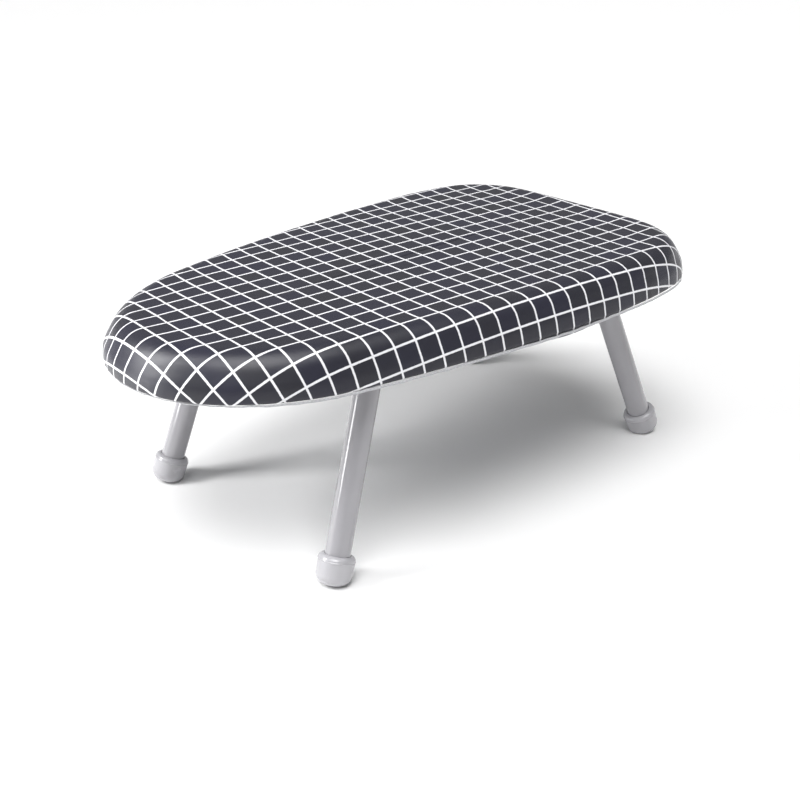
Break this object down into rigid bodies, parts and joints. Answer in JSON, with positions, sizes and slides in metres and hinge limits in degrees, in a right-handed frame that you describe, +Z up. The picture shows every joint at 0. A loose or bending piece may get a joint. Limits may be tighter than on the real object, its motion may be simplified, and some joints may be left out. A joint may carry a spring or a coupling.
{
  "type": "tabletop ironing board",
  "caption": "Table-top ironing board: padded top with a pointed nose and a check cloth cover, on folding splayed tube leg frames with round foot caps.",
  "frame": {"origin": "on the table, under the centre of the board's outline", "axes": "+X from the pointed nose to the wide tail, +Y to the left of someone facing the tail, +Z up"},
  "size_m": [0.5911, 0.3512, 0.215],
  "materials": {
    "cover_cloth": "dark navy cotton with a thin white check, smooth",
    "felt": "needled felt",
    "foam": "open-cell foam",
    "binding_tape": "light woven tape",
    "elastic_webbing": "white elastic webbing",
    "tray_paint": "white powder coat",
    "leg_paint": "gloss white paint",
    "foot_plastic": "smooth light grey-white moulding",
    "saddle_zinc": "zinc plated",
    "screw_zinc": "zinc plated",
    "liner_nylon": "natural nylon"
  },
  "bodies": {
    "board": {"deck_tray": "tray_paint", "deck_spine": "tray_paint", "foam_pad": "foam", "felt_layer": "felt", "check_cover": "cover_cloth", "hem_binding": "binding_tape", "elastic_band": "elastic_webbing", "nose_rib": "tray_paint", "nose_saddle_left": "saddle_zinc", "nose_saddle_right": "saddle_zinc", "nose_liner_left": "liner_nylon", "nose_liner_right": "liner_nylon", "nose_saddle_screw_1": "screw_zinc", "nose_saddle_screw_2": "screw_zinc", "nose_saddle_screw_3": "screw_zinc", "nose_saddle_screw_4": "screw_zinc", "tail_rib": "tray_paint", "tail_saddle_left": "saddle_zinc", "tail_saddle_right": "saddle_zinc", "tail_liner_left": "liner_nylon", "tail_liner_right": "liner_nylon", "tail_saddle_screw_1": "screw_zinc", "tail_saddle_screw_2": "screw_zinc", "tail_saddle_screw_3": "screw_zinc", "tail_saddle_screw_4": "screw_zinc"},
    "nose_frame": {"nose_leg_frame": "leg_paint", "nose_stop_cam": "leg_paint", "nose_foot_left": "foot_plastic", "nose_foot_right": "foot_plastic"},
    "tail_frame": {"tail_leg_frame": "leg_paint", "tail_stop_cam": "leg_paint", "tail_foot_left": "foot_plastic", "tail_foot_right": "foot_plastic"}
  },
  "joints": [
    {"name": "nose_fold", "type": "hinge", "parent": "board", "child": "nose_frame", "pos_m": [-0.1231, 0, 0.1839], "axis": [0, -1, 0], "range_deg": [0, 109.6]},
    {"name": "tail_fold", "type": "hinge", "parent": "board", "child": "tail_frame", "pos_m": [0.1703, 0, 0.1839], "axis": [0, 1, 0], "range_deg": [0, 95.4]}
  ]
}
